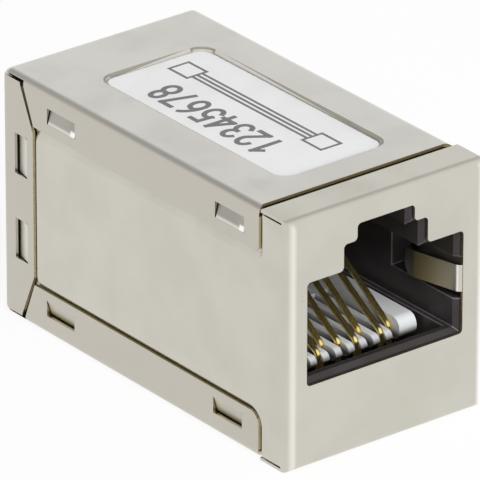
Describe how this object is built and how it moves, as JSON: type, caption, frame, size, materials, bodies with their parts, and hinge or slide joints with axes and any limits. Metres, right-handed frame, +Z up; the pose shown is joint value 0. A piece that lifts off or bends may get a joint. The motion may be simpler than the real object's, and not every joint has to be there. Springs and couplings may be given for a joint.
{
  "type": "shielded inline network coupler",
  "caption": "Folded metal box with a stepped modular socket at each end that joins two shielded network plugs in line.",
  "frame": {"origin": "centre of the flat bottom, under the middle of the body", "axes": "+Z up through the label, +Y from the front port towards the rear port, +X to the right of the front port"},
  "size_m": [0.0156, 0.03, 0.0174],
  "materials": {
    "nickel_sheet": "satin nickel plate",
    "paper": "matt white paper",
    "black_plastic": "satin moulded",
    "white_plastic": "glossy moulded",
    "board": "solder mask",
    "gold_wire": "polished gold plate"
  },
  "bodies": {
    "root": {"front_shell": "nickel_sheet", "rear_shell": "nickel_sheet", "label": "paper", "front_housing": "black_plastic", "rear_housing": "black_plastic", "front_contact_carrier": "white_plastic", "rear_contact_carrier": "white_plastic", "circuit_board": "board", "front_contact_1": "gold_wire", "front_contact_2": "gold_wire", "front_contact_3": "gold_wire", "front_contact_4": "gold_wire", "front_contact_5": "gold_wire", "front_contact_6": "gold_wire", "front_contact_7": "gold_wire", "front_contact_8": "gold_wire", "rear_contact_1": "gold_wire", "rear_contact_2": "gold_wire", "rear_contact_3": "gold_wire", "rear_contact_4": "gold_wire", "rear_contact_5": "gold_wire", "rear_contact_6": "gold_wire", "rear_contact_7": "gold_wire", "rear_contact_8": "gold_wire"}
  },
  "joints": []
}
